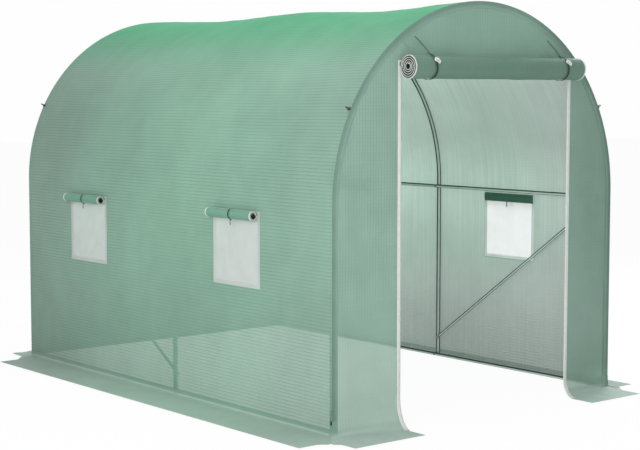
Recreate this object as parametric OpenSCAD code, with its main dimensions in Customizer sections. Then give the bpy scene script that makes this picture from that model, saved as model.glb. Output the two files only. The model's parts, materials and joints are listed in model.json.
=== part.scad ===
// Polytunnel greenhouse: three steel hoops, side rails and braces under a fabric cover.
// Millimetres, +Z up. The doorway end faces -Y. The origin is on the ground, at the middle
// of the whole footprint with its ground flaps.

/* [Tunnel] */
// Width over the cover
tunnel_w = 2000; // [1400:10:3200]
// Length over the cover, from end wall to end wall
tunnel_l = 2950; // [2400:10:6000]
// Height of the straight side walls, where the arch starts
wall_h = 1100; // [1000:10:1800]
// Thickness of the cover fabric
cover_t = 2; // [1:0.5:4]
// Gap between pieces that rest on each other
seat = 0.3; // [0.1:0.1:0.5]

/* [Frame] */
// Diameter of the hoop tube
hoop_d = 25; // [16:1:40]
// Diameter of the side purlins and ground rails
rail_d = 19; // [12:1:32]
// Diameter of the diagonal braces
brace_d = 16; // [10:1:25]
// Distance from the front hoop to the middle hoop
front_bay = 1340; // [1000:10:1600]
// How far the side purlins lie below the top of the side walls
purlin_drop = 36; // [20:2:200]
// Height of the bolt at the low end of a brace
brace_foot_z = 110; // [60:5:300]
// Length of the flattened end of a brace
brace_flat_l = 52; // [40:1:80]
// Thickness of the flattened end of a brace
brace_flat_t = 3; // [2:0.5:5]

/* [Doorway] */
// Clear width of the doorway
door_w = 1204; // [700:2:1400]
// Height of the doorway
door_h = 1794; // [1500:2:1850]
// Distance of the doorway's middle from the tunnel's middle, to the right
door_shift = 36; // [-60:2:60]
// Diameter of the rolled-up door
door_roll_d = 128; // [80:1:140]
// How far the roll's middle hangs below the top of the doorway
door_roll_drop = 30; // [0:2:60]
// How far the roll runs past the doorway on the left
door_roll_left = 12; // [0:1:80]
// How far the roll runs past the doorway on the right
door_roll_right = 0; // [0:1:120]
// Height of the flap's hem on the wall above the doorway
door_hem_h = 24; // [10:1:40]
// Width of the straps round the rolled-up door
strap_w = 12; // [8:1:30]
// Thickness of the straps and ties
strap_t = 1.5; // [1:0.5:3]
// Distance of each strap from the end of the roll nearest it
strap_inset = [135, 137];
// Width of the white zip trim at each side of the doorway
trim_w = 26; // [15:1:50]
// Thickness of the zip trim
trim_t = 1.5; // [1:0.5:3]
// How far the trim runs out over the ground flap, left and right
trim_reach = [139, 122];
// How far the doorway edge of the ground flap drifts to the left
flap_drift = 62; // [0:2:80]

/* [Windows] */
// Width of a window, along the tunnel
window_w = 396; // [250:2:500]
// Height of the bottom of a window
window_z = 657; // [500:1:800]
// Height of a window
window_h = 383; // [250:1:400]
// Distance from the front wall to the middle of the front windows
front_window = 767; // [600:1:900]
// Distance from the back wall to the middle of the back windows
back_window = 718; // [600:1:900]
// Diameter of a rolled-up window flap
window_roll_d = 53; // [30:1:70]
// Length of a rolled-up window flap
window_roll_l = 388; // [300:2:520]
// How far a rolled-up window flap's middle hangs below the top of its window
window_roll_drop = 17; // [0:1:40]
// How far a rolled-up window flap sits behind its window's middle
window_roll_shift = 13; // [0:1:40]
// Width of a window tie
tie_w = 8; // [5:1:20]
// Length of a tie's hanging tail
tie_tail = 30; // [10:1:60]

/* [Ground flaps] */
// Width of the left flap
left_flap = 270; // [120:5:400]
// Width of the right flap
right_flap = 150; // [120:5:400]
// Width of the front flaps
front_flap = 258; // [180:2:400]
// Width of the back flap
back_flap = 117; // [100:1:400]

/* [Cover clips] */
// Angle of the clips round the arch, up from where it starts
clip_angle = 27.4; // [15:0.1:45]
// Length of a clip's base along the tunnel
clip_l = 22; // [15:1:40]
// Width of a clip's base round the arch
clip_w = 14; // [8:1:20]
// Diameter of the loop on a clip
clip_loop_d = 16; // [10:1:25]
// Thickness of the loop on a clip
clip_loop_t = 3; // [2:0.5:5]

/* [Hidden] */
$fn = 64;

// Outside and inside of the arch, with enough steps for its size.
arch_fn = 240;
arch_r = tunnel_w / 2;
lining_r = arch_r - cover_t;
strip_angle = 30;

// How far a cut runs past the faces that it goes through.
cut = 1;

// The hoops stand just inside the cover, the rails just inside the hoops.
hoop_r = lining_r - seat - hoop_d / 2;
front_hoop_y = cover_t + seat + hoop_d / 2;
back_hoop_y = tunnel_l - front_hoop_y;
middle_hoop_y = front_hoop_y + front_bay;
hoop_in = hoop_r - hoop_d / 2 - seat;
rail_x = hoop_in - rail_d / 2;
purlin_z = wall_h - purlin_drop;
rail_l = back_hoop_y - front_hoop_y + hoop_d;
brace_foot_x = hoop_in - brace_flat_t / 2;
brace_head_x = hoop_in - rail_d - 2 * seat - brace_flat_t / 2;
brace_overlap = 12;

// The doorway, with its left edge first.
door_x = [door_shift - door_w / 2, door_shift + door_w / 2];
door_roll_z = door_h - door_roll_drop;
roll_r = door_roll_d / 2;
roll_back = 2 * seat + trim_t;
roll_y = -roll_back - roll_r;
roll_x = [door_x[0] - door_roll_left, door_x[1] + door_roll_right];
strap_x = [roll_x[0] + strap_inset[0], roll_x[1] - strap_inset[1]];
buckle_size = [28, 24, 4];
buckle_bar = 4;
buckle_angle = 26;
buckle_shift = 2;

// The windows' middles along the tunnel.
window_y = [front_window, tunnel_l - back_window];
window_roll_r = window_roll_d / 2;
window_roll_x = arch_r + seat + window_roll_r;
window_roll_z = window_z + window_h - window_roll_drop;

// The clips sit on the arch over the end hoops.
clip_base_t = 3;

// Each corner of the ground flaps has a notch. Its four numbers are how far the side flap
// runs past the end wall, how far out from the side wall its notch starts, how far the end
// flap runs past the side wall, and how far out from the end wall its notch starts.
front_left_notch = [89, 151, 72, 165];
front_right_notch = [52, 38, -27, 127];
back_left_notch = [-95, 149, 80, -20];
back_right_notch = [-40, 60, 40, 10];

// Points at a corner, where sx is the side and sy the end: the notch's start on the side
// flap, its start on the end flap, and the seam between the two flaps.
function end_y(sy) = sy < 0 ? 0 : tunnel_l;
function notch_side(sx, sy, n) = [sx * (arch_r + n[1]), end_y(sy) + sy * n[0]];
function notch_end(sx, sy, n) = [sx * (arch_r + n[2]), end_y(sy) + sy * n[3]];
function seam(sx, sy, n) = (notch_side(sx, sy, n) + notch_end(sx, sy, n)) / 2;
function corner(sx, sy) = [sx * arch_r, end_y(sy)];

// The middle of the footprint moves to the origin.
module place() {
    translate([(left_flap - right_flap) / 2, (front_flap - tunnel_l - back_flap) / 2, 0])
        children();
}

// Turns a flat outline in X and Z into a sheet that starts at y and is t thick.
module upright(y, t) {
    translate([0, y + t, 0])
        rotate([90, 0, 0])
            linear_extrude(height = t) children();
}

// A bar of diameter d along the tunnel.
module long_bar(d, length) {
    rotate([-90, 0, 0]) cylinder(d = d, h = length);
}

module hoop(y) {
    color([0.33, 0.39, 0.37]) place() translate([0, y, 0]) {
        for (side = [-1, 1])
            translate([side * hoop_r, 0, 0]) cylinder(d = hoop_d, h = wall_h);
        translate([0, 0, wall_h])
            rotate([90, 0, 0])
                rotate_extrude(angle = 180, $fn = arch_fn)
                    translate([hoop_r, 0]) circle(d = hoop_d, $fn = 48);
    }
}

module rail(side, z) {
    color([0.33, 0.39, 0.37]) place()
        translate([side * rail_x, front_hoop_y - hoop_d / 2, z])
            long_bar(rail_d, rail_l);
}

// A brace from its foot on the middle hoop to its head inside a purlin joint.
module brace(side, head_y) {
    foot = [side * brace_foot_x, middle_hoop_y, brace_foot_z];
    head = [side * brace_head_x, head_y, purlin_z];
    reach = head - foot;
    length = norm(reach);
    rise = asin(reach[2] / length);
    turn = atan2(-reach[0], reach[1]);
    flat = [brace_flat_t, brace_flat_l, brace_d];
    tube_l = length - 2 * (brace_flat_l - brace_overlap);
    color([0.40, 0.46, 0.44]) place()
        translate(foot)
            rotate([0, 0, turn]) rotate([rise, 0, 0]) {
                translate([0, brace_flat_l - brace_overlap, 0]) long_bar(brace_d, tube_l);
                translate([-flat[0] / 2, -brace_d / 2, -flat[2] / 2]) cube(flat);
                translate([-flat[0] / 2, length + brace_d / 2 - flat[1], -flat[2] / 2])
                    cube(flat);
            }
}

// A side wall between y0 and y1, with its window cut through.
module side_wall(side, y0, y1, window) {
    color([0.42, 0.68, 0.55]) place()
        difference() {
            translate([side * (arch_r - cover_t / 2) - cover_t / 2, y0, 0])
                cube([cover_t, y1 - y0, wall_h]);
            translate([side * (arch_r - cover_t / 2) - cover_t / 2 - cut,
                       window - window_w / 2, window_z])
                cube([cover_t + 2 * cut, window_w, window_h]);
        }
}

// A strip of the roof as long as the tunnel, from the angle a round the arch.
module roof_strip(a) {
    color([0.36, 0.66, 0.50]) place()
        translate([0, tunnel_l - cover_t, wall_h])
            rotate([90, 0, 0])
                rotate([0, 0, a])
                    rotate_extrude(angle = strip_angle, $fn = arch_fn)
                        translate([lining_r, 0])
                            square([cover_t, tunnel_l - 2 * cover_t]);
}

// The outline of an end wall.
module end_outline() {
    translate([-arch_r, 0]) square([tunnel_w, wall_h]);
    intersection() {
        translate([0, wall_h]) circle(r = arch_r, $fn = arch_fn);
        translate([-arch_r, wall_h]) square([tunnel_w, arch_r]);
    }
}

// The part of the front wall between x0 and x1, above z0.
module front_wall(x0, x1, z0) {
    color([0.47, 0.62, 0.54]) place()
        upright(0, cover_t)
            intersection() {
                end_outline();
                translate([x0, z0]) square([x1 - x0, wall_h + arch_r]);
            }
}

module back_wall() {
    color([0.47, 0.62, 0.54]) place()
        upright(tunnel_l - cover_t, cover_t) end_outline();
}

// A ground flap from its outline.
module ground_flap(points) {
    color([0.58, 0.66, 0.62]) place()
        linear_extrude(height = cover_t) polygon(points);
}

module side_ground_flap(side, flap, front_notch, back_notch) {
    front = notch_side(side, -1, front_notch);
    back = notch_side(side, 1, back_notch);
    ground_flap([
        corner(side, -1), seam(side, -1, front_notch), front,
        [side * (arch_r + flap), front[1]], [side * (arch_r + flap), back[1]],
        back, seam(side, 1, back_notch), corner(side, 1)
    ]);
}

module front_ground_flap(side, notch, door_edge, reach) {
    tip = notch_end(side, -1, notch);
    ground_flap([
        corner(side, -1), seam(side, -1, notch), tip, [tip[0], -front_flap],
        [door_edge - flap_drift, -front_flap], [door_edge - flap_drift, -reach],
        [door_edge, 0]
    ]);
}

module back_ground_flap() {
    left = notch_end(-1, 1, back_left_notch);
    right = notch_end(1, 1, back_right_notch);
    ground_flap([
        corner(-1, 1), seam(-1, 1, back_left_notch), left,
        [left[0], tunnel_l + back_flap], [right[0], tunnel_l + back_flap],
        right, seam(1, 1, back_right_notch), corner(1, 1)
    ]);
}

// The mesh that closes each window of one side, inside its hole.
module window_mesh(side) {
    color([0.86, 0.90, 0.88]) place()
        for (y = window_y)
            translate([side * (arch_r - cover_t / 2) - cover_t / 2,
                       y - window_w / 2 + seat, window_z + seat])
                cube([cover_t, window_w - 2 * seat, window_h - 2 * seat]);
}

module window_roll(side, y) {
    color([0.30, 0.50, 0.41]) place()
        translate([side * window_roll_x, y + window_roll_shift - window_roll_l / 2,
                   window_roll_z])
            long_bar(window_roll_d, window_roll_l);
}

// A tie round the outside of each rolled-up window flap, with its ends on the wall.
module window_ties(side) {
    inner_r = window_roll_r + seat;
    outer_r = inner_r + strap_t;
    leg = window_roll_x - arch_r - seat;
    color([0.13, 0.25, 0.20]) place()
        for (y = window_y)
            upright(y + window_roll_shift - tie_w / 2, tie_w)
                mirror([side < 0 ? 1 : 0, 0])
                    translate([window_roll_x, window_roll_z]) {
                        difference() {
                            circle(r = outer_r);
                            circle(r = inner_r);
                            translate([-2 * outer_r, -outer_r])
                                square([2 * outer_r, 2 * outer_r]);
                        }
                        translate([-leg, inner_r]) square([leg, strap_t]);
                        translate([-leg, -outer_r]) square([leg, strap_t]);
                        translate([0, -outer_r - tie_tail])
                            square([strap_t, tie_tail + strap_t]);
                    }
}

// The rolled-up door, with the folded hem that hangs it on the wall above the doorway.
module door_roll() {
    color([0.28, 0.47, 0.38]) place() {
        translate([roll_x[0], roll_y, door_roll_z])
            rotate([0, 90, 0]) cylinder(d = door_roll_d, h = roll_x[1] - roll_x[0]);
        translate([door_x[0], -roll_back - cover_t, door_roll_z])
            cube([door_w, roll_back + cover_t - seat, door_h + door_hem_h - door_roll_z]);
    }
}

// The straps round the roll, each open at the back where the hem passes.
module door_straps() {
    inner_r = roll_r + seat;
    color([0.12, 0.27, 0.20]) place()
        for (x = strap_x)
            translate([x - strap_w / 2, roll_y, door_roll_z])
                difference() {
                    rotate([0, 90, 0])
                        difference() {
                            cylinder(r = inner_r + strap_t, h = strap_w);
                            translate([0, 0, -cut])
                                cylinder(r = inner_r, h = strap_w + 2 * cut);
                        }
                    translate([-cut, roll_r - cover_t - seat, -seat])
                        cube([strap_w + 2 * cut, cover_t + roll_back, inner_r]);
                }
}

// A buckle on each strap, high on the front of the roll.
module door_buckles() {
    color([0.82, 0.84, 0.82]) place()
        for (x = strap_x)
            translate([x + buckle_shift, roll_y, door_roll_z])
                rotate([-buckle_angle, 0, 0])
                    translate([0, -roll_r - 2 * seat - strap_t, 0])
                        rotate([90, 0, 0])
                            linear_extrude(height = buckle_size[2])
                                difference() {
                                    square([buckle_size[0], buckle_size[1]], center = true);
                                    for (half = [-1, 1])
                                        translate([0, half * buckle_size[1] / 4])
                                            square([buckle_size[0] - 2 * buckle_bar,
                                                    buckle_size[1] / 2 - 1.5 * buckle_bar],
                                                   center = true);
                                }
}

// A zip trim down one side of the doorway, then out over the ground flap.
module door_trim(side, edge, reach) {
    low = side < 0 ? edge - trim_w : edge;
    foot_z = cover_t + seat;
    color([0.93, 0.95, 0.94]) place() {
        translate([low, -seat - trim_t, foot_z])
            cube([trim_w, trim_t, door_h - foot_z]);
        translate([0, 0, foot_z])
            linear_extrude(height = trim_t)
                polygon([
                    [low, -seat], [low + trim_w, -seat],
                    [low + trim_w - flap_drift, -reach], [low - flap_drift, -reach]
                ]);
    }
}

// A clip on each side of each end hoop: a base on the cover with a loop standing on it.
module cover_clips() {
    color([0.16, 0.20, 0.18]) place()
        for (side = [-1, 1], y = [front_hoop_y, back_hoop_y])
            translate([0, y, wall_h])
                mirror([side < 0 ? 1 : 0, 0, 0])
                    rotate([0, -clip_angle, 0])
                        translate([arch_r + seat, 0, 0]) {
                            translate([0, -clip_l / 2, -clip_w / 2])
                                cube([clip_base_t, clip_l, clip_w]);
                            translate([clip_base_t + clip_loop_d / 2 - clip_loop_t / 2, 0, 0])
                                rotate_extrude()
                                    translate([clip_loop_d / 2 - clip_loop_t / 2, 0])
                                        circle(d = clip_loop_t, $fn = 24);
                        }
}

hoop(front_hoop_y);  // front_hoop
hoop(middle_hoop_y);  // middle_hoop
hoop(back_hoop_y);  // back_hoop
rail(-1, purlin_z);  // left_purlin
rail(1, purlin_z);  // right_purlin
rail(-1, rail_d / 2);  // left_ground_rail
rail(1, rail_d / 2);  // right_ground_rail
brace(-1, back_hoop_y);  // left_brace
brace(1, front_hoop_y);  // right_brace
side_wall(-1, cover_t, middle_hoop_y, window_y[0]);  // left_wall_front
side_wall(-1, middle_hoop_y, tunnel_l - cover_t, window_y[1]);  // left_wall_back
side_wall(1, cover_t, middle_hoop_y, window_y[0]);  // right_wall_front
side_wall(1, middle_hoop_y, tunnel_l - cover_t, window_y[1]);  // right_wall_back
roof_strip(0);  // right_roof_low
roof_strip(strip_angle);  // right_roof_middle
roof_strip(2 * strip_angle);  // right_roof_top
roof_strip(3 * strip_angle);  // left_roof_top
roof_strip(4 * strip_angle);  // left_roof_middle
roof_strip(5 * strip_angle);  // left_roof_low
front_wall(-arch_r, door_x[0], 0);  // front_wall_left
front_wall(door_x[1], arch_r, 0);  // front_wall_right
front_wall(door_x[0], door_x[1], door_h);  // front_wall_top
back_wall();
side_ground_flap(-1, left_flap, front_left_notch, back_left_notch);  // left_ground_flap
side_ground_flap(1, right_flap, front_right_notch, back_right_notch);  // right_ground_flap
front_ground_flap(-1, front_left_notch, door_x[0], trim_reach[0]);  // front_ground_flap_left
front_ground_flap(1, front_right_notch, door_x[1], trim_reach[1]);  // front_ground_flap_right
back_ground_flap();
window_mesh(-1);  // left_window_mesh
window_mesh(1);  // right_window_mesh
window_roll(-1, window_y[0]);  // left_window_roll_front
window_roll(-1, window_y[1]);  // left_window_roll_back
window_roll(1, window_y[0]);  // right_window_roll_front
window_roll(1, window_y[1]);  // right_window_roll_back
window_ties(-1);  // left_window_ties
window_ties(1);  // right_window_ties
door_roll();
door_straps();
door_buckles();
door_trim(-1, door_x[0], trim_reach[0]);  // door_trim_left
door_trim(1, door_x[1], trim_reach[1]);  // door_trim_right
cover_clips();
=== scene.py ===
import json
import math

import bmesh
import bpy
import numpy as np
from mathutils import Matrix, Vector

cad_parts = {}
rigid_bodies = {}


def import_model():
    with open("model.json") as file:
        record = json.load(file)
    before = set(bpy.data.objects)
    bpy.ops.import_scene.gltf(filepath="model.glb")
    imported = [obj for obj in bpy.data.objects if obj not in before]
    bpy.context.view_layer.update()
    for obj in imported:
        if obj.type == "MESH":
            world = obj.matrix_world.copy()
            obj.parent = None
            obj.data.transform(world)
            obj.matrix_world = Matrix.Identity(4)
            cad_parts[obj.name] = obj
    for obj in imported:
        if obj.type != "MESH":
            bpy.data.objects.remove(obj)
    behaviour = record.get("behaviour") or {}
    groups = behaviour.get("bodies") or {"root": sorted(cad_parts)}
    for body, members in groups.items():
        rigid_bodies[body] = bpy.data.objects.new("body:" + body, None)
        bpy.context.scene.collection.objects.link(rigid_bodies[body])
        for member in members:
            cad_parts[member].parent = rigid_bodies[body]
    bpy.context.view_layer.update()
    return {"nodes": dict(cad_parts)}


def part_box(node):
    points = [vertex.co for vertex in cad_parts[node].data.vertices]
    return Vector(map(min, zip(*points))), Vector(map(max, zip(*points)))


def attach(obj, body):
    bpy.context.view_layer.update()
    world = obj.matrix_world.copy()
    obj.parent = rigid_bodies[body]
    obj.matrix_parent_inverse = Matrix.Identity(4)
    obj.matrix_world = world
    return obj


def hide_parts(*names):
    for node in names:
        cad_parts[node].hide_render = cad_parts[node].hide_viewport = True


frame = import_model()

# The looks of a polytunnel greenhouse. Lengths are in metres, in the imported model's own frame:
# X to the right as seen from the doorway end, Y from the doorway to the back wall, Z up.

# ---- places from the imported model

UP = np.array([0.0, 0.0, 1.0])
SIDES = ((-1, "left"), (1, "right"))


def low(node):
    return np.array(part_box(node)[0])


def high(node):
    return np.array(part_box(node)[1])


def middle(node):
    return (low(node) + high(node)) / 2


film_t = high("left_wall_front")[0] - low("left_wall_front")[0]
centre_x = (low("left_wall_front")[0] + high("right_wall_front")[0]) / 2
outer_r = high("right_wall_front")[0] - centre_x
skin_r = outer_r - film_t / 2
front_y = low("front_wall_top")[1]
back_y = high("back_wall")[1]
wall_h = low("left_roof_low")[2]
hoop_y = [middle(n)[1] for n in ("front_hoop", "middle_hoop", "back_hoop")]
purlin_z = middle("left_purlin")[2]
door_x = {-1: high("front_wall_left")[0], 1: low("front_wall_right")[0]}
door_top = low("front_wall_top")[2]
flap_x = {-1: low("left_ground_flap")[0], 1: high("right_ground_flap")[0]}
flap_front = low("front_ground_flap_left")[1]
flap_back = high("back_ground_flap")[1]
pane_low = low("left_window_mesh")
pane_high = high("left_window_mesh")
roll_start = low("door_roll")[0]
roll_r = (high("door_roll")[2] - low("door_roll")[2]) / 2
roll_axis = np.array([0.0, low("door_roll")[1] + roll_r, low("door_roll")[2] + roll_r])
STRAP_HALF_W = 0.006  # of the solid that the CAD has for a strap
strap_places = [low("door_straps")[0] + STRAP_HALF_W, high("door_straps")[0] - STRAP_HALF_W]
WINDOW_EDGE = 0.0003  # between a net and the hole it fills
window_w = 0.396
window_z = [pane_low[2] - WINDOW_EDGE, pane_high[2] + WINDOW_EDGE]
window_y = [
    [pane_low[1] - WINDOW_EDGE, pane_low[1] - WINDOW_EDGE + window_w],
    [pane_high[1] + WINDOW_EDGE - window_w, pane_high[1] + WINDOW_EDGE],
]

# The notched corners of the ground flaps, as the part's source has them: how far the side
# flap runs past the end wall, how far out its notch starts, and the same for the end flap.
NOTCH = {
    (-1, -1): (0.089, 0.151, 0.072, 0.165),
    (1, -1): (0.052, 0.038, -0.027, 0.127),
    (-1, 1): (-0.095, 0.149, 0.080, -0.020),
    (1, 1): (-0.040, 0.060, 0.040, 0.010),
}
FLAP_DRIFT = 0.062  # how far the front flaps lean to the left past the doorway
TRIM_REACH = {-1: 0.139, 1: 0.122}  # how far forward the foot of the doorway's edge lies
COVE = {-1: (0.135, 0.13, 2.0), 1: (0.075, 0.0, 7.0)}  # height, least share and power of the foot
UNDER_LAP = 0.010  # of the front flaps under the side flaps
LAID_Z = 0.003
STEP = 0.022  # between the cloth's points
WALL_ARC = 1.15  # degrees between the end walls' columns
COVER_ARC = 1.2


def notch_points(side, end):
    """The corner of the walls, the seam's end, and the notch's two tips, as X and Y."""
    n = NOTCH[side, end]
    wall_x, wall_y = centre_x + side * outer_r, front_y if end < 0 else back_y
    on_side = np.array([wall_x + side * n[1], wall_y + end * n[0]])
    on_end = np.array([wall_x + side * n[2], wall_y + end * n[3]])
    return np.array([wall_x, wall_y]), (on_side + on_end) / 2, on_side, on_end


# ---- small tools

def spaced(stops, step):
    """Numbers from the first stop to the last, through every stop, about step apart."""
    out = [stops[0]]
    for a, b in zip(stops, stops[1:]):
        n = max(1, round(abs(b - a) / step))
        out += list(np.linspace(a, b, n + 1)[1:])
    return np.array(out)


def smooth(x, a, b):
    """0 below a, 1 above b, and an even slope between."""
    t = np.clip((np.asarray(x, float) - a) / (b - a), 0, 1)
    return t * t * (3 - 2 * t)


def crumple(u, v, size_u, size_v, seed, count=9):
    """Soft irregular waves of about those sizes, from about -1 to 1."""
    rng = np.random.default_rng(seed)
    total = np.zeros(np.broadcast(u, v).shape)
    for _ in range(count):
        lean = rng.uniform(-1, 1)
        stretch = rng.uniform(0.6, 1.7)
        phase = rng.uniform(0, 2 * math.pi)
        total += np.sin(2 * math.pi * (u / size_u + lean * v / size_v) / stretch + phase)
    return total / math.sqrt(2 * count)


def stacked(*parts):
    """Arrays or numbers for X, Y and Z, or for a place in the cloth, as one array."""
    return np.stack(np.broadcast_arrays(*parts), axis=-1)


def lengths(path):
    """The length along a path to each of its points."""
    return np.concatenate([[0], np.cumsum(np.linalg.norm(np.diff(path, axis=0), axis=1))])


def edge_fade(width, *distances):
    """0 where any of the distances is 0, and 1 where all are width or more."""
    return smooth(np.minimum.reduce(np.broadcast_arrays(*distances)), 0.0, width)


def unit(vectors):
    return vectors / np.linalg.norm(vectors, axis=-1, keepdims=True)


def read_line(line, at):
    """The second number of a line of points, where the first is at."""
    first, second = np.array(sorted(tuple(p) for p in line)).T
    return np.interp(at, first, second)


def mesh_piece(name, points, faces, material, cut=None):
    """A new object that rides on the model. cut gives each point's place in the flat cloth."""
    mesh = bpy.data.meshes.new(name)
    mesh.from_pydata(np.asarray(points, float).tolist(), [], faces)
    if cut is not None:
        flat = np.zeros((len(points), 3), np.float32)
        flat[:, :len(cut[0])] = cut
        mesh.attributes.new("cut", "FLOAT_VECTOR", "POINT").data.foreach_set(
            "vector", flat.ravel())
    mesh.validate()
    mesh.shade_smooth()
    mesh.materials.append(material)
    obj = bpy.data.objects.new(name, mesh)
    bpy.context.scene.collection.objects.link(obj)
    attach(obj, "root")
    return obj


def edit(obj, change):
    """Runs change on the object's mesh."""
    bm = bmesh.new()
    bm.from_mesh(obj.data)
    change(bm)
    bm.to_mesh(obj.data)
    bm.free()


def thicken(obj, thickness):
    solid = obj.modifiers.new("thickness", "SOLIDIFY")
    solid.thickness, solid.offset = thickness, 0.0


class Patches:
    """Collects grids of points into one mesh."""

    def __init__(self):
        self.points, self.cut, self.faces = [], [], []

    def add(self, grid, cut, keep=None, flip=False):
        """Adds the grid's quads, leaving out those where keep is false."""
        rows, cols = grid.shape[:2]
        at = len(self.points) + np.arange(rows * cols).reshape(rows, cols)
        quads = np.stack([at[:-1, :-1], at[:-1, 1:], at[1:, 1:], at[1:, :-1]], axis=-1)
        quads = quads.reshape(-1, 4) if keep is None else quads[keep]
        self.points += list(grid.reshape(-1, 3))
        self.cut += list(cut.reshape(rows * cols, -1))
        self.faces += (quads[:, ::-1] if flip else quads).tolist()

    def piece(self, name, material, slot, weld=0.0):
        def clean(bm):
            loose = [v for v in bm.verts if not v.link_faces]
            bmesh.ops.delete(bm, geom=loose, context="VERTS")
            if weld:
                bmesh.ops.remove_doubles(bm, verts=bm.verts[:], dist=weld)

        obj = mesh_piece(name, self.points, self.faces, material, self.cut)
        edit(obj, clean)
        return obj


def circle(centre, first, second, n):
    """Points round a centre, with those two half axes."""
    turn = 2 * math.pi * np.arange(n) / n
    return np.asarray(centre) + np.outer(np.cos(turn), first) + np.outer(np.sin(turn), second)


def ring_profile(r, n):
    return circle((0, 0), (r, 0), (0, r), n)


def rounded_profile(w, t, corner, n=3):
    """The outline of a flat bar, w by t, with rounded corners, counter-clockwise."""
    out = []
    for cx, cy, start in ((1, 1, 0), (-1, 1, 90), (-1, -1, 180), (1, -1, 270)):
        for i in range(n + 1):
            a = math.radians(start + 90 * i / n)
            out.append((cx * (w / 2 - corner) + corner * math.cos(a),
                        cy * (t / 2 - corner) + corner * math.sin(a)))
    return out


def tube_faces(rows, cols, closed=False):
    """The faces of a tube of rings of points, with its ends shut unless it is a closed loop."""
    faces = []
    for i in range(rows if closed else rows - 1):
        for j in range(cols):
            k, m = (i + 1) % rows, (j + 1) % cols
            faces.append((i * cols + j, i * cols + m, k * cols + m, k * cols + j))
    if not closed:
        faces.append(tuple(range(cols))[::-1])
        faces.append(tuple((rows - 1) * cols + j for j in range(cols)))
    return faces


def solid_sweep(path, profile, side, closed=False):
    """A bar along the path, as points and faces. side is the profile's first axis."""
    path = np.asarray(path, float)
    if closed:
        along = unit(np.roll(path, -1, 0) - np.roll(path, 1, 0))
    else:
        along = unit(np.gradient(path, axis=0))
    first = np.broadcast_to(np.asarray(side, float), path.shape).copy()
    first = unit(first - (first * along).sum(1)[:, None] * along)
    second = np.cross(along, first)
    points = [p + a * s + b * t for p, s, t in zip(path, first, second) for a, b in profile]
    return points, tube_faces(len(path), len(profile), closed)


def joined(name, parts, material, replaced=()):
    """One piece from a list of meshes, each given as points and faces."""
    points, faces = [], []
    for p, f in parts:
        start = len(points)
        points += list(p)
        faces += [tuple(start + i for i in face) for face in f]
    obj = mesh_piece(name, points, faces, material)
    edit(obj, lambda bm: bmesh.ops.recalc_face_normals(bm, faces=bm.faces[:]))
    obj.data.set_sharp_from_angle(angle=math.radians(40))
    if replaced:
        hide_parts(*replaced)
    return obj


# ---- materials

class Maker:
    """Adds nodes to a new material, or to a world, and links them."""

    def __init__(self, name, owner=None):
        self.owner = owner or bpy.data.materials.new(name)
        self.owner.use_nodes = True
        self.tree = self.owner.node_tree
        self.tree.nodes.clear()

    def add(self, kind, inputs=None, **settings):
        """A new node. An input is a socket to link or a value; a colour needs no alpha."""
        node = self.tree.nodes.new(kind)
        for key, value in settings.items():
            setattr(node, key, value)
        for key, value in (inputs or {}).items():
            socket = node.inputs[key]
            if isinstance(value, bpy.types.NodeSocket):
                self.tree.links.new(value, socket)
            else:
                socket.default_value = (*value, 1.0) if socket.type == "RGBA" else value
        return node

    def out(self, kind, inputs=None, output=0, **settings):
        return self.add(kind, inputs, **settings).outputs[output]

    def math(self, operation, first, *rest):
        for other in rest:
            first = self.out("ShaderNodeMath", {0: first, 1: other}, operation=operation)
        return first

    def times(self, *values):
        return self.math("MULTIPLY", *values)

    def plus(self, *values):
        return self.math("ADD", *values)

    def remap(self, value, a, b, c, d):
        return self.out("ShaderNodeMapRange", {
            "Value": value, "From Min": a, "From Max": b, "To Min": c, "To Max": d,
        }, interpolation_type="SMOOTHSTEP")

    def blend(self, share, a, b, mode="MIX"):
        return self.out("ShaderNodeMix", {0: share, 6: a, 7: b}, 2, data_type="RGBA",
                        blend_type=mode)

    def tinted(self, colour, *tints):
        for tint in tints:
            colour = self.blend(1.0, colour, tint, "MULTIPLY")
        return colour

    def noise(self, where, scale, detail):
        return self.out("ShaderNodeTexNoise", {
            "Vector": where, "Scale": scale, "Detail": detail})

    def cloudy(self, where, scale, detail, least, most):
        """Soft patches between two values."""
        return self.remap(self.noise(where, scale, detail), 0.3, 0.7, least, most)

    def cut(self):
        """The place in the flat cloth, as two lengths, and how deep in a roll it lies."""
        out = self.out("ShaderNodeAttribute", output="Vector", attribute_name="cut")
        return out, *self.add("ShaderNodeSeparateXYZ", {0: out}).outputs[:3]

    def objects(self):
        return self.out("ShaderNodeTexCoord", output="Object")

    def xyz(self):
        return self.add("ShaderNodeSeparateXYZ", {0: self.objects()}).outputs[:3]

    def geometry(self, output):
        return self.out("ShaderNodeNewGeometry", output=output)

    def grey(self, tone):
        return self.out("ShaderNodeCombineColor", {0: tone, 1: tone, 2: tone})

    def line(self, place, pitch, width):
        """1 on lines that are pitch apart, falling to 0 at width from them."""
        return self.remap(self.math("PINGPONG", place, pitch / 2), 0.0, width, 1.0, 0.0)

    def bump(self, height, distance, strength):
        return self.out("ShaderNodeBump", {
            "Height": height, "Distance": distance, "Strength": strength})

    def coat(self, face, rough, gloss, **more):
        return self.out("ShaderNodeBsdfPrincipled", {
            "Base Color": face, "Roughness": rough, "Specular IOR Level": gloss, **more})

    def glow(self, colour, **more):
        return self.out("ShaderNodeBsdfTranslucent", {"Color": colour, **more})

    def mixed(self, share, first, second):
        return self.out("ShaderNodeMixShader", {0: share, 1: first, 2: second})

    def done(self, shader, output="ShaderNodeOutputMaterial"):
        self.add(output, {"Surface": shader})
        return self.owner


GRID_PITCH = 0.0175
WEAVE_PITCH = 0.0028
NET_PITCH = 0.0022
WHITE = (1.0, 1.0, 1.0)


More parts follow.
